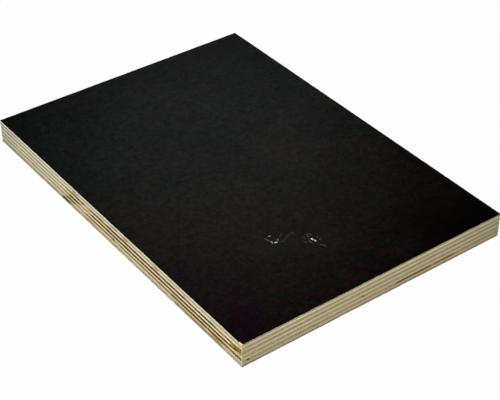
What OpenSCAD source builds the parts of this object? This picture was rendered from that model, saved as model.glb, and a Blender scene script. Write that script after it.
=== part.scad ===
// Film-faced plywood sheet, cut to a panel that lies flat.
// An odd number of veneers is glued up with the grain of each one across that of the next.
// A thin phenolic film covers both faces, and the four edges are sawn square and left bare.
// Origin: the middle of the underside. +X runs along the face grain, +Y across it, +Z up.

/* [Panel] */
// Length, along the grain of the face veneer
panel_length = 297; // [120:1:2500]
// Width, across the grain of the face veneer
panel_width = 210; // [80:1:1250]

/* [Lay-up] */
// Number of crossbands, the veneers whose grain runs across the panel
crossband_count = 5; // [1:1:9]
// Thickness of each crossband
crossband_t = 1.7; // [0.8:0.05:3.2]
// Thickness of each core veneer, which lies between two crossbands
core_veneer_t = 1.7; // [0.8:0.05:3.2]
// Thickness of the face and back veneers, which are sanded before the film is pressed on
outer_veneer_t = 1.15; // [0.5:0.05:3.2]
// Thickness of the film on each face
film_t = 0.2; // [0.1:0.05:0.6]

/* [Chipped corner] */
// Length of the chip in the face film, along the long edge
chip_length = 9.5; // [2:0.5:40]
// Depth of the chip at the corner, along the short edge
chip_depth = 0.9; // [0.3:0.1:5]

/* [Hidden] */
// Heights of the layers' undersides, counted up from the underside of the panel
back_film_z = 0;
back_veneer_z = back_film_z + film_t;
lowest_crossband_z = back_veneer_z + outer_veneer_t;
lowest_core_veneer_z = lowest_crossband_z + crossband_t;
// Rise from one crossband to the next
lay_up_pitch = crossband_t + core_veneer_t;
face_veneer_z = lowest_crossband_z + crossband_count * lay_up_pitch - core_veneer_t;
face_film_z = face_veneer_z + outer_veneer_t;

// How far a cutter runs past what it cuts
overcut = 1;

// Colours of the film and of the bare veneer edges
film_colour = "#1c1a19";
outer_veneer_colour = "#d8cca6";
core_veneer_colour = "#e6d3a8";
crossband_colour = "#a08a5c";

function numbered(name, n) = str(name, "_", n);

// Crossbands and core veneers are numbered from the back of the panel to its face
crossband_numbers = [1 : 1 : crossband_count];
core_veneer_numbers = [1 : 1 : crossband_count - 1];

// One full-size layer of the panel, with its underside at height z
module layer(z, thickness) {
    translate([-panel_length / 2, -panel_width / 2, z])
        cube([panel_length, panel_width, thickness]);
}

// The wedge that has broken out of the face film at the +X, -Y corner
module corner_chip() {
    slope = chip_depth / chip_length;
    translate([panel_length / 2, -panel_width / 2, face_film_z - overcut])
        linear_extrude(film_t + 2 * overcut)
            polygon([
                [-chip_length - overcut, -slope * overcut],
                [-chip_length - overcut, -overcut],
                [overcut, -overcut],
                [overcut, chip_depth + slope * overcut]
            ]);
}

module back_film() {
    color(film_colour) layer(back_film_z, film_t);
}

module back_veneer() {
    color(outer_veneer_colour) layer(back_veneer_z, outer_veneer_t);
}

module crossband(n) {
    color(crossband_colour) layer(lowest_crossband_z + (n - 1) * lay_up_pitch, crossband_t);
}

module core_veneer(n) {
    color(core_veneer_colour) layer(lowest_core_veneer_z + (n - 1) * lay_up_pitch, core_veneer_t);
}

module face_veneer() {
    color(outer_veneer_colour) layer(face_veneer_z, outer_veneer_t);
}

module face_film() {
    color(film_colour) difference() {
        layer(face_film_z, film_t);
        corner_chip();
    }
}

back_film();
back_veneer();
for (n = crossband_numbers)
    crossband(n);
for (n = core_veneer_numbers)
    core_veneer(n);
face_veneer();
face_film();
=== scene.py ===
"""The looks of a film-faced plywood sheet: sawn veneer edges, dark film, scuffs and a chipped corner.

Every length is in metres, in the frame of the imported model: +X along the panel, +Y across it, +Z up.
The front edge is the long one at -Y, and the right edge is the short one at +X.
"""

import math

import bmesh
import bpy
from mathutils import Matrix, Vector


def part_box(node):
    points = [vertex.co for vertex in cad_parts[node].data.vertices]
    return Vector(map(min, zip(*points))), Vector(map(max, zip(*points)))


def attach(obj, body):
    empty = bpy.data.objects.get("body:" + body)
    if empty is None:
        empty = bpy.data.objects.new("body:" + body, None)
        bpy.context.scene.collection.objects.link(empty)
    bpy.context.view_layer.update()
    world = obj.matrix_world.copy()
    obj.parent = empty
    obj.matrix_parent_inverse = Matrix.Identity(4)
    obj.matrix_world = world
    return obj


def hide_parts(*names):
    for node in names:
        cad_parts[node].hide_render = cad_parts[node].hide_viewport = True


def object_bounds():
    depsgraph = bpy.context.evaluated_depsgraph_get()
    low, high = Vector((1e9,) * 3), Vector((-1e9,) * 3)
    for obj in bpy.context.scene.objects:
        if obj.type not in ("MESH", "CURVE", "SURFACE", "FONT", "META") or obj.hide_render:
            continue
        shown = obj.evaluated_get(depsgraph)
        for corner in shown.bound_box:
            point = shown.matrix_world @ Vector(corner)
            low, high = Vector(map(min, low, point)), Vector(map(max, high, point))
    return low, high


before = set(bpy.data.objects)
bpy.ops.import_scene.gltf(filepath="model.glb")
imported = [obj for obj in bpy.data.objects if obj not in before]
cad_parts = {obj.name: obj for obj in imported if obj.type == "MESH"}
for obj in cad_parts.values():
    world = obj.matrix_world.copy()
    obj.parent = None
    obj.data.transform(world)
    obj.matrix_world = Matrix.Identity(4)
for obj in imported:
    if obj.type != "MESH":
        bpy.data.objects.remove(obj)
CAD_LOW, CAD_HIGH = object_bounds()

MM = 0.001
HALF_LENGTH = CAD_HIGH.x
HALF_WIDTH = CAD_HIGH.y
LENGTH = 2 * HALF_LENGTH
WIDTH = 2 * HALF_WIDTH
FACE_HEIGHT = CAD_HIGH.z
TOUCH = 0.001 * MM             # points this near to a plane lie on it
SIDE_SLACK = 0.02 * MM         # points this near to a side of the panel belong to it

SIDES = {"front": ("Y", -1), "back": ("Y", 1), "right": ("X", 1), "left": ("X", -1)}
AXES = {"X": 0, "Y": 1}
HALF_SPAN = {"X": HALF_LENGTH, "Y": HALF_WIDTH}

CORES = [f"core_veneer_{n}" for n in range(1, 5)]
CROSSBANDS = [f"crossband_{n}" for n in range(1, 6)]
VENEERS = ["back_veneer", *CROSSBANDS, *CORES, "face_veneer"]
STACK = sorted(VENEERS, key=lambda node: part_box(node)[0].z)


# Camera

CAMERA_PLACE = (0.62697, -0.44745, 0.56312)
CAMERA_AZIMUTH, CAMERA_ELEVATION, CAMERA_ROLL = (math.radians(a) for a in (53.877, 36.770, -0.470))
CAMERA_LENS = 98.5
CAMERA_SENSOR = 36


def add_camera():
    """A long lens that looks down on the front corner."""
    turn = (
        Matrix.Rotation(CAMERA_AZIMUTH, 3, "Z")
        @ Matrix.Rotation(math.pi / 2 - CAMERA_ELEVATION, 3, "X")
        @ Matrix.Rotation(CAMERA_ROLL, 3, "Z")
    )
    bpy.ops.object.camera_add(location=CAMERA_PLACE, rotation=turn.to_euler())
    camera = bpy.context.object
    camera.data.lens = CAMERA_LENS
    camera.data.sensor_width = CAMERA_SENSOR
    bpy.context.scene.camera = camera


# Modelling helpers


def middle(element):
    """The middle of a vertex, edge or face."""
    if isinstance(element, bmesh.types.BMVert):
        return element.co
    if isinstance(element, bmesh.types.BMEdge):
        return (element.verts[0].co + element.verts[1].co) / 2
    return element.calc_center_median()


def select(piece, kind, test):
    """In edit mode, selects the vertices, edges or faces whose middle passes the test."""
    bpy.ops.mesh.select_mode(type=kind)
    bpy.ops.mesh.select_all(action="DESELECT")
    cage = bmesh.from_edit_mesh(piece.data)
    for element in {"VERT": cage.verts, "EDGE": cage.edges, "FACE": cage.faces}[kind]:
        if test(middle(element)):
            element.select_set(True)
    cage.select_flush_mode()
    bmesh.update_edit_mesh(piece.data)


def hold(piece):
    """Makes one piece, and nothing else, the selected and active object."""
    bpy.ops.object.select_all(action="DESELECT")
    piece.select_set(True)
    bpy.context.view_layer.objects.active = piece


def on_side(side, slack=SIDE_SLACK):
    """A test for points on one side of the panel."""
    axis, sign = SIDES[side]
    return lambda p: p[AXES[axis]] * sign > HALF_SPAN[axis] - slack


def at_level(level):
    """A test for points at one height."""
    return lambda p: abs(p.z - level) < TOUCH


# Sawn outline of a layer

SEGMENT = 0.75 * MM            # spacing of the points along a sawn edge
BORDER = 1.5 * MM              # width of the border that keeps the big faces flat beside a worn edge
SMOOTH_ANGLE = math.radians(35)   # faces that meet at less than this are shaded as one


def sawn_sheet(name, low, high):
    """A flat sheet at height low.z, its four edges cut into short lengths, open in edit mode."""
    bpy.ops.object.select_all(action="DESELECT")
    bpy.ops.mesh.primitive_plane_add(size=1)
    piece = bpy.context.object
    piece.name = piece.data.name = name
    bpy.ops.object.mode_set(mode="EDIT")
    bpy.ops.mesh.select_all(action="SELECT")
    bpy.ops.transform.resize(value=(high.x - low.x, high.y - low.y, 1))
    bpy.ops.transform.translate(value=((low.x + high.x) / 2, (low.y + high.y) / 2, low.z))
    bpy.ops.mesh.delete(type="ONLY_FACE")
    for pair, span in ((("front", "back"), LENGTH), (("right", "left"), WIDTH)):
        tests = [on_side(side) for side in pair]
        select(piece, "EDGE", lambda p, tests=tests: any(test(p) for test in tests))
        bpy.ops.mesh.subdivide(number_cuts=round(span / SEGMENT) - 1)
    bpy.ops.mesh.select_all(action="SELECT")
    bpy.ops.mesh.edge_face_add()
    return piece


def raise_sheet(rises):
    """Extrudes the sheet's face up, one row of faces for each rise."""
    for rise in rises:
        bpy.ops.mesh.extrude_region_move(TRANSFORM_OT_translate={"value": (0, 0, rise)})
    bpy.ops.mesh.select_all(action="SELECT")
    bpy.ops.mesh.normals_make_consistent(inside=False)


def border_top(piece, level):
    """Borders the upper face, so that wear at its edge doesn't tilt the whole face."""
    select(piece, "FACE", at_level(level))
    bpy.ops.mesh.inset(thickness=BORDER, depth=0)


def finish_piece(piece, node):
    """Shades a piece, and lets it ride on the panel and stand for its CAD node."""
    hold(piece)
    bpy.ops.object.shade_smooth_by_angle(angle=SMOOTH_ANGLE)
    piece.vertex_groups.clear()
    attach(piece, "root")
    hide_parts(node)


# Relief of sawn wood and torn film

NOISE_DEPTH = 2
PEAK_RISE = 0.18               # span of a noise over which a peak rises to its full height
SAW_WAVER = 3
SAW_PITCH = 6 * MM
SAW_LEAN = math.radians(35)


def ruler(name, cell, place=(0, 0, 0), lean=0.0):
    """An empty that sets the size, place and lean of a relief pattern's cells."""
    bpy.ops.object.empty_add(location=place, rotation=(0, lean, 0))
    made = bpy.context.object
    made.name = name
    made.scale = cell
    bpy.context.view_layer.update()
    return made


def soft_noise(name, peaks_over=None):
    """A soft noise, or only its peaks."""
    made = bpy.data.textures.new(name, "CLOUDS")
    made.noise_scale = 1
    made.noise_depth = NOISE_DEPTH
    if peaks_over:
        made.use_color_ramp = True
        first, last = made.color_ramp.elements
        first.position, first.color = peaks_over, (0, 0, 0, 1)
        last.position, last.color = peaks_over + PEAK_RISE, (1, 1, 1, 1)
    return made


def saw_bands(name):
    """Even wavering bands, as the teeth of a saw leave them."""
    made = bpy.data.textures.new(name, "WOOD")
    made.wood_type = "BANDNOISE"
    made.noise_basis_2 = "SIN"
    made.noise_scale = 1
    made.turbulence = SAW_WAVER
    return made


def weigh(piece, name, weight):
    """A vertex group that gives each point the weight of its place."""
    group = piece.vertex_groups.new(name=name)
    for vertex in piece.data.vertices:
        share = weight(vertex.co)
        if share > 0:
            group.add([vertex.index], share, "REPLACE")
    return group.name


def press_in(piece, group, axis, shift, texture=None, scale_by=None):
    """Moves the points of a group along one axis, by up to the shift where the pattern is full."""
    relief = piece.modifiers.new("relief", "DISPLACE")
    if texture:
        relief.texture = texture
        relief.texture_coords = "OBJECT"
        relief.texture_coords_object = scale_by
    relief.direction = axis
    relief.vertex_group = group
    relief.mid_level = 0
    relief.strength = shift
    bpy.ops.object.modifier_apply(modifier=relief.name)


def press_side(piece, side, depth, texture, scale_by):
    """Presses a relief pattern into one side, never outwards."""
    axis, sign = SIDES[side]
    press_in(piece, side, axis, -sign * depth, texture, scale_by)


fibre_noise = soft_noise("fibre relief")
pit_noise = soft_noise("torn pits", peaks_over=0.62)
nick_noise = soft_noise("film nicks", peaks_over=0.55)
tear_noise = soft_noise("torn edge")
saw_noise = saw_bands("saw marks")
saw_ruler = ruler("saw ruler", (SAW_PITCH,) * 3, lean=SAW_LEAN)


# Veneers

ROWS = (0.07, 0.28, 0.30, 0.28, 0.07)   # rises of the rows of faces, as shares of a veneer's thickness
ARRIS = 0.05 * MM              # how far each veneer's corners are worn back beside the glue
SAW_MARK_DEPTH = 0.05 * MM
FIBRE_DEPTH = 0.06 * MM
END_GRAIN_SINK = 0.10 * MM     # depth to which cut fibre ends lie behind the long fibres
PIT_DEPTH = 0.22 * MM
FIBRE_CELL = (22 * MM, 0.7 * MM, 0.7 * MM)
PIT_CELL = (2.4 * MM, 2.4 * MM, 0.9 * MM)
VENEER_STEP = 17 * MM          # shift of the relief from one veneer to the next
FRONT_SKIN = 0.5 * MM          # points this near to the front edge belong to its worn surface

# Depths of the hollows that the saw tore beside the front corner, and where they lie along X
CORNER_TEARS = {"crossband_2": 0.7 * MM, "crossband_3": 1.1 * MM, "crossband_4": 0.6 * MM}
TEAR_MIDDLE = HALF_LENGTH - 1.9 * MM
TEAR_REACH = 2.6 * MM
TEAR_LIMIT = HALF_LENGTH - 0.4 * MM
TEAR_POWERS = 0.6, 0.4         # below 1, so that a hollow is full, along the edge and across it

SPLINTER_DEPTH = 0.35 * MM     # how far the bared veneer's edge is broken down at the chip
SPLINTER_SHARE = 0.35          # share of the veneer's thickness that gives way there
SPLINTER_START = HALF_LENGTH - 7.5 * MM
SPLINTER_RUN = 4 * MM


def wear_arrises(piece, low, high):
    """Draws in the top and bottom outlines, so that a fine groove marks each glue line."""
    draw_in = (1 - 2 * ARRIS / LENGTH, 1 - 2 * ARRIS / WIDTH, 1)
    for level in (low.z, high.z):
        select(piece, "VERT", at_level(level))
        bpy.ops.transform.resize(value=draw_in, center_override=(0, 0, level))


def tear_corner(piece, node, low, high):
    """Hollows out a crossband's front side beside the corner."""
    ply_middle = (low.z + high.z) / 2
    half = (high.z - low.z) / 2

    def weight(p):
        if p.y > -HALF_WIDTH + FRONT_SKIN or p.x > TEAR_LIMIT:
            return 0
        along = max(0, 1 - abs(p.x - TEAR_MIDDLE) / TEAR_REACH)
        across = max(0, 1 - abs(p.z - ply_middle) / half)
        return along ** TEAR_POWERS[0] * across ** TEAR_POWERS[1]

    press_in(piece, weigh(piece, "tear", weight), "Y", CORNER_TEARS[node])


def splinter_corner(piece, low, high, scale_by):
    """Breaks down the face veneer's upper edge where the chip bares it."""
    foot = high.z - SPLINTER_SHARE * (high.z - low.z)

    def weight(p):
        if p.y > -HALF_WIDTH + FRONT_SKIN or p.z < foot:
            return 0
        along = min(1, max(0, (p.x - SPLINTER_START) / SPLINTER_RUN))
        return along * (p.z - foot) / (high.z - foot)

    press_in(piece, weigh(piece, "splinter", weight), "Z", -SPLINTER_DEPTH, tear_noise, scale_by)


def make_veneer(node, number):
    """One veneer with its sawn sides: long fibres on two of them, cut fibre ends on the other two.

    Its number shifts its relief.
    """
    low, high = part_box(node)
    piece = sawn_sheet(f"sawn_{node}", low, high)
    raise_sheet([share * (high.z - low.z) for share in ROWS])
    border_top(piece, high.z)
    wear_arrises(piece, low, high)
    bpy.ops.object.mode_set(mode="OBJECT")
    grain_axis = "Y" if node in CROSSBANDS else "X"
    cell = FIBRE_CELL if grain_axis == "X" else (FIBRE_CELL[1], FIBRE_CELL[0], FIBRE_CELL[2])
    shift = VENEER_STEP * number
    fibre_ruler = ruler("fibre ruler", cell, (shift, shift, 0))
    pit_ruler = ruler("pit ruler", PIT_CELL, (shift, -shift, shift))
    hold(piece)
    for side, (axis, _) in SIDES.items():
        test = on_side(side, slack=2 * ARRIS)
        weigh(piece, side, lambda p, test=test: float(test(p)))
        press_side(piece, side, SAW_MARK_DEPTH, saw_noise, saw_ruler)
        if axis == grain_axis:
            press_side(piece, side, END_GRAIN_SINK, fibre_noise, fibre_ruler)
            press_side(piece, side, PIT_DEPTH, pit_noise, pit_ruler)
        else:
            press_side(piece, side, FIBRE_DEPTH, fibre_noise, fibre_ruler)
    if node in CORNER_TEARS:
        tear_corner(piece, node, low, high)
    if node == "face_veneer":
        splinter_corner(piece, low, high, pit_ruler)
    for spent in (fibre_ruler, pit_ruler):
        bpy.data.objects.remove(spent)
    finish_piece(piece, node)
    return piece


# Films

NICK_DEPTH = 0.16 * MM         # small nicks that the saw leaves along the film
NICK_CELL = (5 * MM,) * 3
CHIP_TEAR_DEPTH = 0.35 * MM    # how ragged the chip's own edge is
CHIP_TEAR_CELL = (1.3 * MM,) * 3
CHIP_CUTS = 19
CHIP_END = 0.2 * MM            # length at each end of the break that stays as it is cut
FILM_STEP = 31 * MM            # shift of the relief from one film to the other


def chip_line():
    """Where the CAD film's chip starts on the front edge, and where it ends on the right edge."""
    points = [v.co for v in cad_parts["face_film"].data.vertices]
    start = max((p for p in points if on_side("front", TOUCH)(p)), key=lambda p: p.x)
    end = min((p for p in points if on_side("right", TOUCH)(p)), key=lambda p: p.y)
    return Vector((start.x, start.y, 0)), Vector((end.x, end.y, 0))


def chip_corner(piece):
    """Cuts the sliver off the film's front corner, and returns a test for points on the break."""
    start, end = chip_line()
    run = (end - start).normalized()
    outward = Vector((run.y, -run.x, 0))
    bpy.ops.mesh.select_all(action="SELECT")
    bpy.ops.mesh.bisect(plane_co=start, plane_no=outward, use_fill=True, clear_outer=True)

    def on_break(p):
        inside = start.x + CHIP_END < p.x < end.x - CHIP_END
        return inside and abs((p - start).dot(outward)) < 2 * TOUCH

    select(piece, "EDGE", on_break)
    bpy.ops.mesh.subdivide(number_cuts=CHIP_CUTS)
    return on_break


def make_film(node, number):
    """One film, nicked along its sawn edges. The face film has lost a sliver at the front corner."""
    low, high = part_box(node)
    piece = sawn_sheet(f"pressed_{node}", low, high)
    raise_sheet([high.z - low.z])
    on_break = chip_corner(piece) if node == "face_film" else None
    border_top(piece, high.z)
    bpy.ops.object.mode_set(mode="OBJECT")
    shift = FILM_STEP * number
    nick_ruler = ruler("nick ruler", NICK_CELL, (shift, shift, 0))
    tear_ruler = ruler("tear ruler", CHIP_TEAR_CELL, (shift, 0, 0))
    hold(piece)
    if on_break:
        weigh(piece, "break", lambda p: float(on_break(p)))
    for side in SIDES:
        test = on_side(side)
        weigh(piece, side, lambda p, test=test: float(test(p)))
        press_side(piece, side, NICK_DEPTH, nick_noise, nick_ruler)
    if on_break:
        press_in(piece, "break", "Y", CHIP_TEAR_DEPTH, tear_noise, tear_ruler)
    for spent in (nick_ruler, tear_ruler):
        bpy.data.objects.remove(spent)
    finish_piece(piece, node)
    return piece


# Material helpers

NOISE_MIDDLE = 0.5
NOISE_SPAN = 0.3, 0.7          # the range that most of a noise lies in


def fill_inputs(tree, node, inputs):
    """Gives a node's inputs their values or links."""
    for key, value in inputs.items():
        if isinstance(value, bpy.types.NodeSocket):
            tree.links.new(value, node.inputs[key])
        else:
            node.inputs[key].default_value = value


def add_node(tree, kind, inputs=None, **settings):
    """Adds a node with its properties and inputs."""
    made = tree.nodes.new(kind)
    for name, value in settings.items():
        setattr(made, name, value)
    fill_inputs(tree, made, inputs or {})
    return made


def maths(tree, operation, *values, clamp=False):
    """A Math node's result."""
    made = add_node(tree, "ShaderNodeMath", dict(enumerate(values)), operation=operation, use_clamp=clamp)
    return made.outputs[0]


def product(tree, first, *others):
    """Several values multiplied."""
    for other in others:
        first = maths(tree, "MULTIPLY", first, other)
    return first


def inverse(tree, share):
    """What a share leaves of 1."""
    return maths(tree, "SUBTRACT", 1, share)


def largest(tree, values):
    """The largest of several values, joined as they are made so that few are held at once, or None."""
    total = None
    for value in values:
        total = value if total is None else maths(tree, "MAXIMUM", total, value)
    return total


def ramp(tree, value, start, end, low=0.0, high=1.0, soft=True):
    """A value carried from one range to another, held at both ends."""
    inputs = {"Value": value, "From Min": start, "From Max": end, "To Min": low, "To Max": high}
    way = "SMOOTHSTEP" if soft else "LINEAR"
    return add_node(tree, "ShaderNodeMapRange", inputs, interpolation_type=way).outputs["Result"]


def blend(tree, share, first, second, mode="MIX"):
    """Two colours mixed."""
    made = add_node(tree, "ShaderNodeMix", {"Factor": share}, data_type="RGBA", blend_type=mode)
    # Inputs 6 and 7 and output 2 are the ones for colours
    for key, value in ((6, first), (7, second)):
        linked = isinstance(value, bpy.types.NodeSocket)
        fill_inputs(tree, made, {key: value if linked else (*value, 1)})
    return made.outputs[2]


def grey(tree, value):
    """A value as a grey colour."""
    return add_node(tree, "ShaderNodeCombineColor", {0: value, 1: value, 2: value}).outputs[0]


def cells(tree, vector, size):
    """Coordinates counted in cells of the given size."""
    scale = tuple(1 / edge for edge in size)
    return add_node(tree, "ShaderNodeMapping", {"Vector": vector, "Scale": scale}).outputs[0]


def noise(tree, vector, size, detail=3.0, roughness=0.55, out="Fac"):
    """A noise from 0 to 1, in cells of the given size: one value, or a colour of three."""
    inputs = {"Vector": cells(tree, vector, size), "Scale": 1, "Detail": detail, "Roughness": roughness}
    return add_node(tree, "ShaderNodeTexNoise", inputs).outputs[out]


def split(tree, vector):
    """A vector's three parts."""
    return add_node(tree, "ShaderNodeSeparateXYZ", {0: vector}).outputs


def new_group(name, inputs, outputs):
    """A shader group with named sockets, and its input sockets and output node."""
    tree = bpy.data.node_groups.new(name, "ShaderNodeTree")
    for sockets, way in ((inputs, "INPUT"), (outputs, "OUTPUT")):
        for label, kind in sockets.items():
            tree.interface.new_socket(label, in_out=way, socket_type=f"NodeSocket{kind}")
    return tree, tree.nodes.new("NodeGroupInput").outputs, tree.nodes.new("NodeGroupOutput")


def place_group(tree, group, inputs):
    """Places a group in a material with its own values, and returns its outputs."""
    made = add_node(tree, "ShaderNodeGroup", node_tree=group)
    fill_inputs(tree, made, inputs)
    return made.outputs


def new_material(name):
    """A material with its node tree and its shader."""
    material = bpy.data.materials.new(name)
    material.use_nodes = True
    return material, material.node_tree, material.node_tree.nodes["Principled BSDF"]


# Shared effects

# Cells of the wood's grain: along the fibres, across them, and up
STREAK_CELL = (45 * MM, 2.2 * MM, 0.7 * MM)
GRAIN_CELL = (6 * MM, 0.28 * MM, 0.28 * MM)
WANDER_CELL = (9 * MM, 4 * MM, 4 * MM)
# Lathe checks: their pitch, their lean with height, and how far they wander
CHECK_PITCH = 1.15 * MM
CHECK_LEAN = 0.8
CHECK_WANDER = 9 * MM
CHECK_CREST = 0.35, 0.95       # heights of the wave over which a check fades in
CHECK_BREAKS = 0.35, 0.6       # values of the fibre noise over which it fades in
# Borders of stains and strokes, and the noise at which they are broken up
STAIN_CELL = (2.5 * MM, 2.5 * MM, 0.8 * MM)
STAIN_WOBBLE = 2               # in feathers
STAIN_BREAKS = 0.05, 0.38
STROKE_CELL = (0.9 * MM,) * 3
STROKE_WOBBLE = 1.1            # in widths
STROKE_BORDER = 0.05, 0.85
STROKE_BREAKS = 0.22, 0.55
# Cells of the film's resin
CLOUD_CELL = (42 * MM,) * 3
MOTTLE_CELL = (3 * MM, 4 * MM, 4 * MM)
TINT_CELL = (33 * MM, 29 * MM, 31 * MM)
HUE_CELL = (6 * MM,) * 3


def make_grain_group():
    """Fibre, streaks and lathe checks of a veneer whose grain runs along the X of its grain space."""
    outputs = {"Streak": "Float", "Fibre": "Float", "Check": "Float"}
    tree, given, put = new_group("veneer grain", {"Grain Space": "Vector"}, outputs)
    space = given["Grain Space"]
    streak = noise(tree, space, STREAK_CELL, detail=4)
    fibre = noise(tree, space, GRAIN_CELL, roughness=0.65)
    _, across, height = split(tree, space)
    leaning = maths(tree, "MULTIPLY_ADD", height, CHECK_LEAN, across)
    wander = noise(tree, space, WANDER_CELL, detail=2)
    phase = maths(tree, "MULTIPLY_ADD", wander, CHECK_WANDER, leaning)
    wave = maths(tree, "SINE", maths(tree, "MULTIPLY", phase, 2 * math.pi / CHECK_PITCH))
    check = product(tree, ramp(tree, wave, *CHECK_CREST), ramp(tree, fibre, *CHECK_BREAKS))
    fill_inputs(tree, put, {"Streak": streak, "Fibre": fibre, "Check": check})
    return tree


def make_stain_group():
    """A brown stain or saw burn between two places along an edge, leaning with height, its border ragged."""
    inputs = {"Position": "Vector"}
    inputs |= dict.fromkeys(("Along", "Height", "From", "To", "Lean", "Feather", "Strength"), "Float")
    tree, given, put = new_group("edge stain", inputs, {"Mask": "Float"})
    ragged = noise(tree, given["Position"], STAIN_CELL)
    wobble = product(tree, maths(tree, "SUBTRACT", ragged, NOISE_MIDDLE), given["Feather"], STAIN_WOBBLE)
    lean = maths(tree, "MULTIPLY", given["Height"], given["Lean"])
    place = maths(tree, "ADD", maths(tree, "SUBTRACT", given["Along"], lean), wobble)
    half = maths(tree, "MULTIPLY", given["Feather"], 0.5)

    def step(edge):
        return ramp(tree, place, maths(tree, "SUBTRACT", edge, half), maths(tree, "ADD", edge, half))

    band = maths(tree, "SUBTRACT", step(given["From"]), step(given["To"]), clamp=True)
    patchy = ramp(tree, ragged, *STAIN_BREAKS)
    fill_inputs(tree, put, {"Mask": product(tree, band, patchy, given["Strength"])})
    return tree


def make_glue_group():
    """The dark line of glue at the top and bottom of a veneer's sawn side."""
    labels = ("Height", "Half Thickness", "Width")
    tree, given, put = new_group("glue line", dict.fromkeys(labels, "Float"), {"Mask": "Float"})
    inside = maths(tree, "SUBTRACT", given["Half Thickness"], maths(tree, "ABSOLUTE", given["Height"]))
    from_line = maths(tree, "ABSOLUTE", inside)
    fill_inputs(tree, put, {"Mask": ramp(tree, from_line, 0, given["Width"], 1.0, 0.0)})
    return tree


def make_mottle_group():
    """Uneven resin in pressed film: broad clouds, fine mottle, and tints both broad and fine."""
    outputs = dict.fromkeys(("Cloud", "Mottle", "Tint"), "Float") | {"Hue": "Color"}
    tree, given, put = new_group("film mottle", {"Position": "Vector"}, outputs)
    place = given["Position"]
    fill_inputs(tree, put, {
        "Cloud": noise(tree, place, CLOUD_CELL, detail=3, roughness=0.6),
        "Mottle": noise(tree, place, MOTTLE_CELL, detail=2, roughness=0.9),
        "Tint": noise(tree, place, TINT_CELL, detail=5, roughness=0.75),
        "Hue": noise(tree, place, HUE_CELL, detail=3, roughness=0.9, out="Color"),
    })
    return tree


def make_stroke_group():
    """A rubbed stroke from one point to another on a face, broken up along its length."""
    inputs = {"Position": "Vector", "Start": "Vector", "End": "Vector", "Width": "Float", "Strength": "Float"}
    tree, given, put = new_group("rubbed stroke", inputs, {"Mask": "Float"})

    def vectors(operation, first, second, out=0):
        return add_node(tree, "ShaderNodeVectorMath", {0: first, 1: second}, operation=operation).outputs[out]

    ragged = noise(tree, given["Position"], STROKE_CELL, roughness=0.7)
    reach = vectors("SUBTRACT", given["Position"], given["Start"])
    run = vectors("SUBTRACT", given["End"], given["Start"])
    dots = vectors("DOT_PRODUCT", reach, run, 1), vectors("DOT_PRODUCT", run, run, 1)
    share = maths(tree, "DIVIDE", *dots, clamp=True)
    nearest = add_node(tree, "ShaderNodeVectorMath", {0: run, "Scale": share}, operation="SCALE").outputs[0]
    widths = maths(tree, "DIVIDE", vectors("DISTANCE", reach, nearest, 1), given["Width"])
    wobble = maths(tree, "SUBTRACT", ragged, NOISE_MIDDLE)
    uneven = maths(tree, "MULTIPLY_ADD", wobble, -STROKE_WOBBLE, widths)
    core = inverse(tree, ramp(tree, uneven, *STROKE_BORDER))
    broken = ramp(tree, ragged, *STROKE_BREAKS)
    fill_inputs(tree, put, {"Mask": product(tree, core, broken, given["Strength"])})
    return tree


grain_group = make_grain_group()
stain_group = make_stain_group()
glue_group = make_glue_group()
mottle_group = make_mottle_group()
stroke_group = make_stroke_group()


# Veneer material

# Colour of each veneer along its fibres, and across their cut ends
VENEER_COLOURS = {
    "face_veneer": ((0.80, 0.74, 0.58), (0.465, 0.405, 0.285)),
    "crossband_5": ((0.84, 0.75, 0.49), (0.545, 0.47, 0.30)),
    "core_veneer_4": ((0.91, 0.785, 0.53), (0.49, 0.425, 0.265)),
    "crossband_4": ((0.77, 0.66, 0.405), (0.40, 0.34, 0.20)),
    "core_veneer_3": ((0.96, 0.83, 0.56), (0.45, 0.37, 0.22)),
    "crossband_3": ((0.80, 0.69, 0.42), (0.41, 0.35, 0.205)),
    "core_veneer_2": ((0.89, 0.76, 0.49), (0.47, 0.405, 0.245)),
    "crossband_2": ((0.69, 0.58, 0.34), (0.40, 0.34, 0.20)),
    "core_veneer_1": ((0.81, 0.68, 0.425), (0.44, 0.37, 0.22)),
    "crossband_1": ((0.60, 0.50, 0.265), (0.52, 0.455, 0.285)),
    "back_veneer": ((0.56, 0.495, 0.33), (0.40, 0.345, 0.215)),
}
AMBER_TINT = (0.82, 0.69, 0.39)
STAIN_COLOUR = (0.055, 0.027, 0.001)
GLUE_COLOUR = (0.26, 0.19, 0.09)
DUST_COLOUR = (0.73, 0.73, 0.59)
PALE_COLOUR = (1.0, 0.98, 0.86)
# Multiplied in as painted shade at the far ends of the right and front sides, and to darken crossbands
# towards the front corner
DARKENING_TINT = (0.85, 0.86, 0.88)
HANDLED_TINT = (0.90, 0.87, 0.82)
FOOT_TINT = (0.55, 0.56, 0.57)
FRESH_COLOUR = (0.90, 0.71, 0.41)
ARRIS_COLOUR = (0.80, 0.66, 0.38)
RESIDUE_COLOUR = (0.030, 0.035, 0.034)
RUST_COLOUR = (0.36, 0.19, 0.055)
GLUE_WIDTH = 0.16 * MM
GLUE_SOAK = 0.70 * MM
STAIN_SOAK = 0.14 * MM
# Parts of the surface normal at which a side starts to count, and counts in full
END_FACING = 0.4, 0.7
SIDE_FACING = 0.1, 0.35
UP_FACING = 0.4, 0.7
FLAT_FACING = 0.6, 0.9
# Shades and roughness that the grain gives the wood, and its shift from one veneer to the next
STREAK_SHADES = 0.80, 1.14
FIBRE_SHADES = 0.86, 1.12
FIBRE_ROUGHNESS = 0.90, 0.68
GRAIN_STEP = (0.31, 0.17, 0.05)
# How strongly each effect colours the wood
CHECK_SHARE = 0.42
SOAK_SHARE = 0.80
DUST_SHARE = 0.60
CORNER_DARKENING_SHARE = 0.8
BLEACH_SHARE = 0.8
GLUE_SHARE = 0.35
ARRIS_SHARE = 0.65
RUST_SHARE = 0.85
AMBER_GAIN = 1.5               # the amber border of a stain reaches further than its brown

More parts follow.
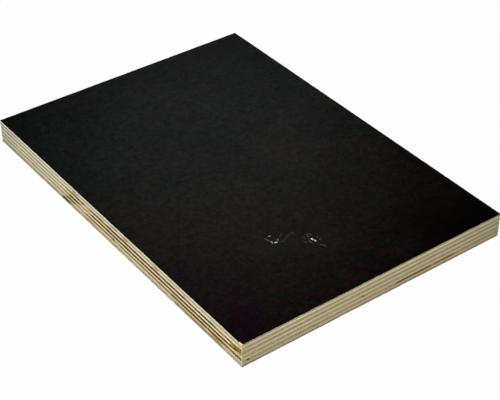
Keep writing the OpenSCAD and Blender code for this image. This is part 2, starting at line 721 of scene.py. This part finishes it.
# Stains on the front edge: start and end along X in mm, strength, lean with height
FRONT_STAINS = {
    "crossband_5": (
        (-150, -125, 0.25, 0), (-45, -41, 0.50, 1.5), (-32, -29, 0.42, 2.5), (4, 11, 0.48, 1.5),
        (19, 24, 0.52, 1.5), (36.5, 38.5, 0.30, 1.5), (55, 60, 0.50, 1.5), (73, 76, 0.28, 1.5),
        (86.5, 88.5, 0.26, 1.5),
    ),
    "crossband_4": (
        (-139, -135, 0.35, 0), (-54, -41.5, 0.62, 1.3), (-41.5, -36.3, 1.15, 1.3), (-35, -30.8, 1.1, 1.7),
        (-24, -6, 0.86, 1.9), (-6, 78, 1.0, 1.9), (78, 122, 0.92, 0), (122, 129, 0.60, 0),
        (129, 138, 0.80, 0), (138, 150, 0.66, 0),
    ),
    "crossband_3": ((-57, -50, 0.60, 1.0), (-51, -36.8, 1.2, 1.3), (-23, 102, 0.98, 1.9), (88, 141, 0.98, 7)),
    "crossband_2": (
        (-103.5, -101, 0.45, 0), (-55.5, -43, 1.15, 1.3), (-30, 4, 0.66, 1.0), (3.5, 6.5, 1.1, 0),
        (12, 58, 0.50, 0), (58, 72.5, 0.66, 0), (72.5, 112, 1.0, 0), (112, 134, 0.94, 0),
        (134, 150, 0.84, 0),
    ),
    "crossband_1": ((-61, -50.2, 1.05, 1.3), (-30, -21, 0.35, 1.3), (77, 129, 0.55, 0), (79, 82.5, 0.75, 0)),
    "core_veneer_1": ((72, 150, 0.16, 0), (117, 128, 0.50, 0)),
    "core_veneer_2": ((72, 150, 0.18, 0), (120, 127, 0.32, 0)),
    "core_veneer_3": ((136.5, 141, 0.70, 1.0), (139.5, 150, 0.94, 0)),
    "core_veneer_4": ((-47, -39, 0.50, 1.2), (17, 23, 0.42, 1.5), (53, 59, 0.42, 1.5), (144, 150, 0.30, 0)),
}
# Stains on the right edge: start and end along Y in mm, strength, lean with height
RIGHT_STAINS = {
    "core_veneer_1": ((15, 46, 0.78, 0), (48, 65, 0.66, 0), (-101.2, -99.9, 0.95, 0)),
    "core_veneer_2": ((-13, -10.5, 0.80, -1.0),),
}
STAIN_FEATHER = 3 * MM
# Where dust and bleaching fade in along an edge, where painted shade darkens the far ends of the right and
# front sides, and where crossbands darken towards the front corner
DUST_ENDS = -80 * MM, -52 * MM
BLEACH_ENDS = -30 * MM, 30 * MM
FAR_SHADE_ENDS = 45 * MM, 105 * MM
CORNER_DARKENING_ENDS = -60 * MM, -102 * MM
LEFT_END_SHADE_ENDS = -112 * MM, -145 * MM
# Where wear begins and is full: along X at the corner, and on the face veneer that the chip bares
CORNER_ENDS = HALF_LENGTH - 1.6 * MM, HALF_LENGTH - 0.48 * MM
BARED_ENDS = -102 * MM, -103 * MM
FRESH_ENDS = 145 * MM, 146 * MM
BROKEN_LEVELS = -0.1 * MM, 0.3 * MM   # above the middle of the veneer
RUST_PLACE = 140.7 * MM
RUST_REACH = 0.4 * MM, 1.0 * MM
# Tints of whole stretches of the front edge: where each fades in and where it is full, along X in mm
FRONT_TINTS = {
    "face_veneer": (100, 142, HANDLED_TINT),
    "crossband_5": (100, 142, HANDLED_TINT),
    "back_veneer": (40, -140, FOOT_TINT),
}
# How far down the saw dragged each veneer's colour on the front edge, at two places along it
DRAG_ENDS = -90 * MM, 120 * MM
DRAG_DEPTHS = 0.15 * MM, 0.50 * MM
DRAG_BLUR = 0.10 * MM


def stains(tree, node, position, level, front, right):
    """The masks of the stains that one veneer shows on its front and right sides."""
    low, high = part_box(node)
    x, y, _ = split(tree, position)
    height = maths(tree, "SUBTRACT", level, (low.z + high.z) / 2)
    for places, along, side in ((FRONT_STAINS, x, front), (RIGHT_STAINS, y, right)):
        for start, end, strength, lean in places.get(node, ()):
            mask = place_group(tree, stain_group, {
                "Position": position, "Along": along, "Height": height, "From": start * MM, "To": end * MM,
                "Lean": lean, "Feather": min(STAIN_FEATHER, (end - start) * MM), "Strength": strength,
            })["Mask"]
            yield product(tree, mask, side)


def stains_with_above(tree, node, above, position, level, front, right):
    """The masks of a veneer's own stains, and of those that come down from the veneer above it."""
    spread = STAIN_SOAK if node in CROSSBANDS else -STAIN_SOAK
    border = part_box(node)[1].z + spread
    from_above = ramp(tree, level, border - DRAG_BLUR, border + DRAG_BLUR)
    own = inverse(tree, from_above)
    for veneer, share in ((node, own), (above, from_above)):
        for mask in stains(tree, veneer, position, level, front, right):
            yield product(tree, mask, share)


def side_masks(tree, normal, crosswise):
    """Where a veneer shows cut fibre ends, its front, its right, an upper face, and any upright side."""
    facing_x, facing_y, facing_z = split(tree, normal)
    cut_ends = ramp(tree, maths(tree, "ABSOLUTE", facing_y if crosswise else facing_x), *END_FACING)
    front = ramp(tree, maths(tree, "MULTIPLY", facing_y, -1), *SIDE_FACING)
    right = ramp(tree, facing_x, *SIDE_FACING)
    upward = ramp(tree, facing_z, *UP_FACING)
    upright = inverse(tree, ramp(tree, maths(tree, "ABSOLUTE", facing_z), *FLAT_FACING))
    return cut_ends, front, right, upward, upright


def shaded_and_tinted(tree, node, colour, x, y, front, right):
    """A veneer's colour, with painted shade towards the far ends of its right and front sides, darker
    crossbands by the front corner, and the front's tints.
    """
    # Painted shade: darker towards the far end of the right side
    darkening = ramp(tree, y, *FAR_SHADE_ENDS)
    if node in CROSSBANDS:
        # Crossbands darker towards the front corner on the right side
        darkening = maths(tree, "MAXIMUM", darkening, ramp(tree, y, *CORNER_DARKENING_ENDS, 0.0, CORNER_DARKENING_SHARE))
    # Painted shade: darker towards the left end of the front
    left_end_shade = product(tree, ramp(tree, x, *LEFT_END_SHADE_ENDS), front)
    darkening = maths(tree, "MAXIMUM", product(tree, darkening, right), left_end_shade)
    colour = blend(tree, darkening, colour, DARKENING_TINT, "MULTIPLY")
    if node in FRONT_TINTS:
        start, full, tint = FRONT_TINTS[node]
        tinted = product(tree, ramp(tree, x, start * MM, full * MM), front)
        colour = blend(tree, tinted, colour, tint, "MULTIPLY")
    return colour


def broken_corner(tree, colour, x, y, height, front, upward):
    """The face veneer's colour with residue, fresh wood and a spot of rust where the chip bares it."""
    broken = maths(tree, "MAXIMUM", upward, product(tree, front, ramp(tree, height, *BROKEN_LEVELS)))
    near_edge = ramp(tree, y, *BARED_ENDS)
    near_corner = ramp(tree, x, *FRESH_ENDS)
    colour = blend(tree, product(tree, upward, near_edge), colour, RESIDUE_COLOUR)
    colour = blend(tree, product(tree, broken, near_edge, near_corner), colour, FRESH_COLOUR)
    from_rust = maths(tree, "ABSOLUTE", maths(tree, "SUBTRACT", x, RUST_PLACE))
    rusty = product(tree, ramp(tree, from_rust, *RUST_REACH, 1.0, 0.0), broken, near_edge, RUST_SHARE)
    return blend(tree, rusty, colour, RUST_COLOUR)


def veneer_material(node, number):
    """Bare veneer with grain along X or Y, stained on its sawn sides. Its number shifts its grain."""
    low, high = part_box(node)
    long_colour, end_colour = VENEER_COLOURS[node]
    material, tree, shader = new_material(f"bare {node}")
    coordinates = add_node(tree, "ShaderNodeTexCoord").outputs
    position = coordinates["Object"]
    x, y, z = split(tree, position)
    crosswise = node in CROSSBANDS
    cut_ends, front, right, upward, upright = side_masks(tree, coordinates["Normal"], crosswise)
    turn = -math.pi / 2 if crosswise else 0
    shift = [number * step for step in GRAIN_STEP]
    grain_space = add_node(
        tree, "ShaderNodeMapping", {"Vector": position, "Location": shift, "Rotation": (0, 0, turn)}
    ).outputs[0]
    grain = place_group(tree, grain_group, {"Grain Space": grain_space})

    # The wood, with the colour that the saw dragged down from the veneer above
    above = STACK[STACK.index(node) + 1] if node != "face_veneer" else None
    drag = product(tree, front, ramp(tree, x, *DRAG_ENDS, *DRAG_DEPTHS, soft=False))
    level = maths(tree, "ADD", z, drag)
    height = maths(tree, "SUBTRACT", level, (low.z + high.z) / 2)
    colour = blend(tree, cut_ends, long_colour, end_colour)
    end_grain = cut_ends
    if above:
        dragged = product(tree, front, ramp(tree, level, high.z - DRAG_BLUR, high.z + DRAG_BLUR))
        colour = blend(tree, dragged, colour, VENEER_COLOURS[above][above in CROSSBANDS])
        end_grain = maths(tree, "ABSOLUTE", maths(tree, "SUBTRACT", cut_ends, dragged))
    streak = ramp(tree, grain["Streak"], *NOISE_SPAN, *STREAK_SHADES, soft=False)
    fibre = ramp(tree, grain["Fibre"], *NOISE_SPAN, *FIBRE_SHADES, soft=False)
    colour = blend(tree, 1.0, colour, grey(tree, product(tree, streak, fibre)), "MULTIPLY")
    checks = product(tree, grain["Check"], end_grain, CHECK_SHARE)
    colour = blend(tree, checks, colour, STAIN_COLOUR)

    # Glue, dust, painted shade, tints and bleaching
    thickness = {"Height": height, "Half Thickness": (high.z - low.z) / 2}
    if crosswise:
        soak = place_group(tree, glue_group, {**thickness, "Width": GLUE_SOAK})["Mask"]
        soaked = product(tree, soak, upright, inverse(tree, cut_ends), SOAK_SHARE)
        colour = blend(tree, soaked, colour, end_colour)
    if node in CORES or above in CORES:
        dusty = dragged if crosswise else inverse(tree, dragged)
        dust = product(tree, ramp(tree, x, *DUST_ENDS, 1.0, 0.0), front, dusty, DUST_SHARE)
        colour = blend(tree, dust, colour, DUST_COLOUR)
    colour = shaded_and_tinted(tree, node, colour, x, y, front, right)
    if node == "face_veneer":
        bleached = product(tree, ramp(tree, x, *BLEACH_ENDS, 1.0, 0.0), front, BLEACH_SHARE)
        colour = blend(tree, bleached, colour, PALE_COLOUR)
    else:
        glue = place_group(tree, glue_group, {**thickness, "Width": GLUE_WIDTH})["Mask"]
        colour = blend(tree, product(tree, glue, upright, GLUE_SHARE), colour, GLUE_COLOUR)

    # Stains and wear
    if above:
        stain = largest(tree, stains_with_above(tree, node, above, position, level, front, right))
        amber = maths(tree, "MULTIPLY", stain, AMBER_GAIN, clamp=True)
        colour = blend(tree, amber, colour, AMBER_TINT, "MULTIPLY")
        colour = blend(tree, maths(tree, "MULTIPLY", stain, stain), colour, STAIN_COLOUR)
    at_corner = product(tree, ramp(tree, x, *CORNER_ENDS), front, ARRIS_SHARE)
    colour = blend(tree, at_corner, colour, ARRIS_COLOUR)
    if node == "face_veneer":
        colour = broken_corner(tree, colour, x, y, height, front, upward)

    relief = maths(tree, "SUBTRACT", grain["Fibre"], checks)
    bump = add_node(tree, "ShaderNodeBump", {"Strength": 0.5, "Distance": 0.15 * MM, "Height": relief})
    fill_inputs(tree, shader, {
        "Base Color": colour,
        "Roughness": ramp(tree, grain["Fibre"], *NOISE_SPAN, *FIBRE_ROUGHNESS, soft=False),
        "Specular IOR Level": 0.05,
        "Normal": bump.outputs[0],
    })
    return material


# Film material

FILM_COLOUR = (0.0016, 0.0029, 0.0021)
FILM_BROWN_COLOUR = (0.0036, 0.0023, 0.0013)
FILM_WARM_COLOUR = (0.0058, 0.0020, 0.0016)
FILM_PLUM_COLOUR = (0.0038, 0.0004, 0.0024)
# Painted shade: the film almost black at its right-hand corner
FILM_SHADE_COLOUR = (0.0003, 0.0003, 0.0003)
SCUFF_COLOUR = (0.92, 0.95, 0.95)
RUBBED_RIM = 0.3 * MM, 1.8 * MM   # from the edges, where the sheen is rubbed down and where it is whole
RUBBED_SHARE = 0.1
BROWNING = -90 * MM, 100 * MM  # where along the panel the resin turns from green-black to brown
BROWN_SHIFT = 0.14             # how far that shifts the noise of the tint, to either side
TINT_ENDS = 0.38, 0.66
HUE_SWING = 4.5
CLOUD_SHADES = 0.82, 1.18
MOTTLE_SPAN = 0.38, 0.62
MOTTLE_SHADES = 0.76, 1.24
FILM_ROUGHNESS = 0.26, 0.20
SCUFF_ROUGHNESS = 0.45         # added where the film is scuffed or dented
COAT_SHARE = 0.55

# Marks and painted shade on the face, in mm: strength, width, and the points that each passes
WARM_PATCHES = (
    (0.5, 11, ((-134, -46), (-126, -46))), (0.7, 13, ((-24, -60), (-16, -64))),
    (0.6, 11, ((-20, -84), (-14, -84))), (0.5, 12, ((26, 89), (34, 89))),
    (0.7, 14, ((110, 8), (118, 12))), (0.6, 26, ((60, -60), (84, -66))),
    (0.6, 15, ((136, -66), (138, 36))), (0.7, 22, ((104, -70), (124, -44))),
)
PLUM_PATCHES = (
    (0.5, 16, ((106, 52), (118, 60))), (1.0, 36, ((124, -92), (142, -92))), (0.5, 14, ((134, -2), (138, 6))),
    (0.7, 22, ((96, -90), (112, -76))), (0.5, 6, ((35, -37), (37, -37))), (0.6, 20, ((70, -96), (92, -94))),
)
# Painted shade: the film almost black towards its right-hand corner, where its sheen fades
SHADE_PATCHES = ((1.0, 60, ((150, 104), (150, 72))), (0.5, 24, ((154, 50), (154, -10))))
# A broad faint haze, and the scuffs in it
SCUFFS = (
    (0.0034, 20, ((82, -44), (100, -6))),
    (0.42, 0.60, ((76.2, -31.1), (76.4, -29.9))),
    (0.09, 0.55, ((76.6, -34.4), (78.4, -34.2))),
    (0.11, 0.60, ((78.4, -34.2), (80.4, -33.4), (81.3, -33.1))),
    (0.55, 0.65, ((81.9, -33.0), (83.2, -33.2))),
    (0.85, 0.85, ((83.8, -31.5), (84.3, -30.5))),
    (0.14, 0.60, ((82.0, -28.0), (82.8, -28.2), (83.8, -28.8))),
    (0.10, 0.50, ((80.9, -29.3), (81.5, -29.2))),
    (0.05, 0.42, ((81.3, -26.7), (80.4, -24.7), (78.8, -22.3))),
    (0.05, 0.45, ((85.3, -28.9), (85.7, -26.6), (85.1, -24.2), (83.3, -21.5), (82.3, -19.1))),
    (0.08, 0.45, ((82.4, -17.4), (81.8, -16.7), (82.2, -16.2), (82.9, -16.4))),
    (0.03, 0.45, ((83.9, -16.8), (86.6, -15.4))),
    (0.10, 0.55, ((89.0, -9.9), (90.8, -10.5), (92.4, -10.8))),
    (0.09, 0.50, ((89.5, -8.7), (90.8, -8.5), (92.0, -8.1))),
    (0.05, 0.50, ((89.9, -13.3), (92.3, -13.9))),
    (0.08, 0.50, ((94.7, -15.9), (96.0, -15.4))),
    (0.11, 0.50, ((95.6, -13.2), (96.7, -13.0), (97.8, -12.7))),
    (1.00, 1.00, ((94.9, -10.5), (95.7, -10.3))),
    (0.60, 0.60, ((96.1, -10.2), (97.2, -9.8))),
    (1.00, 0.85, ((97.6, -9.8), (98.1, -9.7))),
    (0.06, 0.55, ((100.8, -10.9), (101.7, -10.5))),
    (0.11, 0.50, ((102.8, -9.6), (103.5, -8.8), (105.0, -8.2), (106.0, -7.8))),
    (0.09, 0.50, ((95.4, -6.3), (96.2, -6.5))),
    (0.11, 0.55, ((98.1, -6.6), (98.4, -5.6))),
)
# Rust-coloured flecks, and small dents, beside the scuffs
FLECKS = ((0.22, 0.60, ((93.4, -16.2), (93.7, -16.2))), (0.14, 0.60, ((98.9, -8.6), (99.3, -8.4))))
DENTS = (
    (1.0, 0.95, ((79.3, -28.3), (79.8, -28.1))), (0.8, 0.70, ((80.9, -28.1), (81.2, -28.0))),
    (0.8, 0.70, ((91.0, -9.6), (91.4, -9.4))), (0.8, 0.70, ((98.1, -11.3), (98.5, -11.1))),
    (0.8, 0.70, ((99.9, -9.8), (100.1, -9.6))), (0.7, 0.60, ((76.5, -33.2), (76.9, -33.2))),
)


def strokes(tree, position, marks):
    """The masks of all the strokes of a list."""
    for strength, width, points in marks:
        places = [(x * MM, y * MM, FACE_HEIGHT) for x, y in points]
        for start, end in zip(places, places[1:]):
            yield place_group(tree, stroke_group, {
                "Position": position, "Start": start, "End": end, "Width": width * MM, "Strength": strength,
            })["Mask"]


def vary(tree, colour, hue, strength):
    """A colour whose three parts vary, each with its own part of a noise."""
    parts = {0: hue, 1: (strength,) * 3, 2: (1 - strength * NOISE_MIDDLE,) * 3}
    swing = add_node(tree, "ShaderNodeVectorMath", parts, operation="MULTIPLY_ADD").outputs[0]
    return blend(tree, 1.0, colour, swing, "MULTIPLY")


def inside_rim(tree, position):
    """A mask that falls from 1 on the face to almost 0 at its rubbed edges."""
    x, y, _ = split(tree, position)
    to_ends = maths(tree, "SUBTRACT", HALF_LENGTH, maths(tree, "ABSOLUTE", x))
    to_sides = maths(tree, "SUBTRACT", HALF_WIDTH, maths(tree, "ABSOLUTE", y))
    return ramp(tree, maths(tree, "MINIMUM", to_ends, to_sides), *RUBBED_RIM, RUBBED_SHARE, 1.0)


def film_material(name, worn_and_shaded):
    """Dark phenolic film with a satin sheen and uneven resin, scuffed and with painted shade at its
    right-hand corner where that is asked for.
    """
    material, tree, shader = new_material(name)
    position = add_node(tree, "ShaderNodeTexCoord").outputs["Object"]
    mottle = place_group(tree, mottle_group, {"Position": position})

    def marks(places):
        return largest(tree, strokes(tree, position, places))

    along = split(tree, position)[0]
    browner = ramp(tree, along, *BROWNING, -BROWN_SHIFT, BROWN_SHIFT, soft=False)
    tint = maths(tree, "ADD", mottle["Tint"], browner)
    colour = blend(tree, ramp(tree, tint, *TINT_ENDS), FILM_COLOUR, FILM_BROWN_COLOUR)
    if worn_and_shaded:
        colour = blend(tree, marks(WARM_PATCHES), colour, FILM_WARM_COLOUR)
        colour = blend(tree, marks(PLUM_PATCHES), colour, FILM_PLUM_COLOUR)
        # Painted shade towards the right-hand corner
        colour = blend(tree, marks(SHADE_PATCHES), colour, FILM_SHADE_COLOUR)

    colour = vary(tree, colour, mottle["Hue"], HUE_SWING)
    cloud = ramp(tree, mottle["Cloud"], *NOISE_SPAN, *CLOUD_SHADES, soft=False)
    uneven = ramp(tree, mottle["Mottle"], *MOTTLE_SPAN, *MOTTLE_SHADES, soft=False)
    colour = blend(tree, 1.0, colour, grey(tree, product(tree, uneven, uneven)), "MULTIPLY")
    resin = product(tree, cloud, uneven, inside_rim(tree, position), COAT_SHARE)
    rough = ramp(tree, mottle["Mottle"], *MOTTLE_SPAN, *FILM_ROUGHNESS, soft=False)
    if worn_and_shaded:
        rub = marks(SCUFFS)
        marked = maths(tree, "MAXIMUM", rub, marks(DENTS))
        colour = blend(tree, marks(FLECKS), colour, RUST_COLOUR)
        colour = blend(tree, rub, colour, SCUFF_COLOUR)
        resin = product(tree, resin, maths(tree, "SUBTRACT", 1, marked, clamp=True))
        rough = maths(tree, "MULTIPLY_ADD", marked, SCUFF_ROUGHNESS, rough, clamp=True)
    # The marks stay out of the bump, which would work out each of them three times
    relief = mottle["Mottle"]
    bump = add_node(tree, "ShaderNodeBump", {"Strength": 0.3, "Distance": 0.05 * MM, "Height": relief})
    fill_inputs(tree, shader, {
        "Base Color": colour,
        "Roughness": rough,
        "Specular IOR Level": 0.1,
        "Coat Weight": resin,
        "Coat Roughness": 0.16,
        "Normal": bump.outputs[0],
    })
    return material


# Stage

FLOOR_RADIUS = 4.0
FLOOR_SIDES = 96
FLOOR_DROP = 0.1 * MM          # keeps the floor just clear of the underside
SWEEP_RISE = 0.9
SWEEP_STEPS = 10
FLOOR_COLOUR = (0.62, 0.62, 0.61)
WHITE_SHARE = 0.965
WORLD_COLOUR = (0.92, 0.96, 1.0)
WORLD_STRENGTH = 0.004
WORLD_SHEEN = 0.12             # what the film reflects of the room, away from the far card
SHEEN_ENDS = 0.90, 0.70        # cosines of the angles from the far card at which it fades in
FAR_CARD_PLACE = (-1.109, 0.731, 0.940)
# A key lamp, fills, and dim cards for the film to reflect: place, width and height, power, shape,
# and whether the film reflects it
LAMPS = {
    "key softbox": ((0.22, -0.85, 0.95), (0.80, 0.60), 10.3, "RECTANGLE", True),
    "right fill": ((0.80, -0.45, 0.50), (0.50, 0.40), 3.85, "RECTANGLE", False),
    "back fill": ((0.10, 1.00, 0.55), (0.70, 0.50), 5.5, "RECTANGLE", False),
    "left fill": ((-1.05, -0.05, 0.55), (0.70, 0.50), 5.5, "RECTANGLE", False),
    "far card": (FAR_CARD_PLACE, (0.69, 0.54), 0.102, "ELLIPSE", True),
    "far card middle": ((-1.103, 0.727, 0.935), (0.44, 0.32), 0.038, "ELLIPSE", True),
    "overhead card": ((0, 0, 1.50), (1.90, 1.90), 2.0, "ELLIPSE", True),
}


def sweep_material():
    """White paper: the camera and reflections see it nearly white, and it keeps a shadow."""
    material, tree, paper = new_material("white sweep")
    fill_inputs(tree, paper, {"Base Color": (*FLOOR_COLOUR, 1), "Roughness": 0.9, "Specular IOR Level": 0.1})
    ray = add_node(tree, "ShaderNodeLightPath").outputs
    seen = largest(tree, [ray["Is Camera Ray"], ray["Is Glossy Ray"], ray["Is Transmission Ray"]])
    white = add_node(tree, "ShaderNodeEmission", {"Color": (1, 1, 1, 1), "Strength": 1.0}).outputs[0]
    share = maths(tree, "MULTIPLY", seen, WHITE_SHARE)
    mixed = add_node(tree, "ShaderNodeMixShader", {0: share, 1: paper.outputs[0], 2: white})
    fill_inputs(tree, tree.nodes["Material Output"], {"Surface": mixed.outputs[0]})
    material.cycles.emission_sampling = "NONE"
    return material


def add_floor():
    """A round white sweep: a flat floor that curves up at its rim."""
    bpy.ops.object.select_all(action="DESELECT")
    bpy.ops.mesh.primitive_circle_add(
        vertices=FLOOR_SIDES, radius=FLOOR_RADIUS, fill_type="NGON", location=(0, 0, -FLOOR_DROP)
    )
    floor = bpy.context.object
    floor.name = "floor_sweep"
    bpy.ops.object.mode_set(mode="EDIT")
    bpy.ops.mesh.select_mode(type="EDGE")
    bpy.ops.mesh.select_all(action="SELECT")
    reach, level = FLOOR_RADIUS, 0.0
    for step in range(1, SWEEP_STEPS + 1):
        angle = step / SWEEP_STEPS * math.pi / 2
        wider = FLOOR_RADIUS + SWEEP_RISE * math.sin(angle)
        higher = SWEEP_RISE * (1 - math.cos(angle))
        bpy.ops.mesh.extrude_edges_move(TRANSFORM_OT_translate={"value": (0, 0, higher - level)})
        bpy.ops.transform.resize(value=(wider / reach, wider / reach, 1), center_override=(0, 0, higher))
        reach, level = wider, higher
    bpy.ops.object.mode_set(mode="OBJECT")
    bpy.ops.object.shade_smooth()
    floor.data.materials.append(sweep_material())


def add_lamp(name, place, size, power, shape, mirrored):
    """A soft lamp that faces the panel."""
    facing = (-Vector(place)).to_track_quat("-Z", "Y").to_euler()
    bpy.ops.object.light_add(type="AREA", location=place, rotation=facing)
    lamp = bpy.context.object
    lamp.name = name
    lamp.data.shape = shape
    lamp.data.size, lamp.data.size_y = size
    lamp.data.energy = power
    lamp.visible_camera = False
    lamp.visible_glossy = mirrored


def add_room():
    """A dark room, whose walls the film reflects faintly on every side but that of the far card."""
    world = bpy.data.worlds.new("studio")
    world.use_nodes = True
    tree = world.node_tree
    toward = add_node(tree, "ShaderNodeTexCoord").outputs["Generated"]
    to_card = {0: toward, 1: Vector(FAR_CARD_PLACE).normalized()}
    aside = add_node(tree, "ShaderNodeVectorMath", to_card, operation="DOT_PRODUCT").outputs["Value"]
    glossy = add_node(tree, "ShaderNodeLightPath").outputs["Is Glossy Ray"]
    sheen = product(tree, ramp(tree, aside, *SHEEN_ENDS, 0.0, WORLD_SHEEN), glossy)
    fill_inputs(tree, tree.nodes["Background"], {
        "Color": (*WORLD_COLOUR, 1), "Strength": maths(tree, "ADD", sheen, WORLD_STRENGTH),
    })
    bpy.context.scene.world = world


add_camera()
add_floor()
for lamp_name, lamp in LAMPS.items():
    add_lamp(lamp_name, *lamp)
add_room()
bpy.context.scene.view_settings.view_transform = "Standard"

for count, veneer in enumerate(VENEERS, 1):
    make_veneer(veneer, count).data.materials.append(veneer_material(veneer, count))
make_film("back_film", 1).data.materials.append(film_material("back film", worn_and_shaded=False))
make_film("face_film", 2).data.materials.append(film_material("face film", worn_and_shaded=True))
bpy.data.objects.remove(saw_ruler)
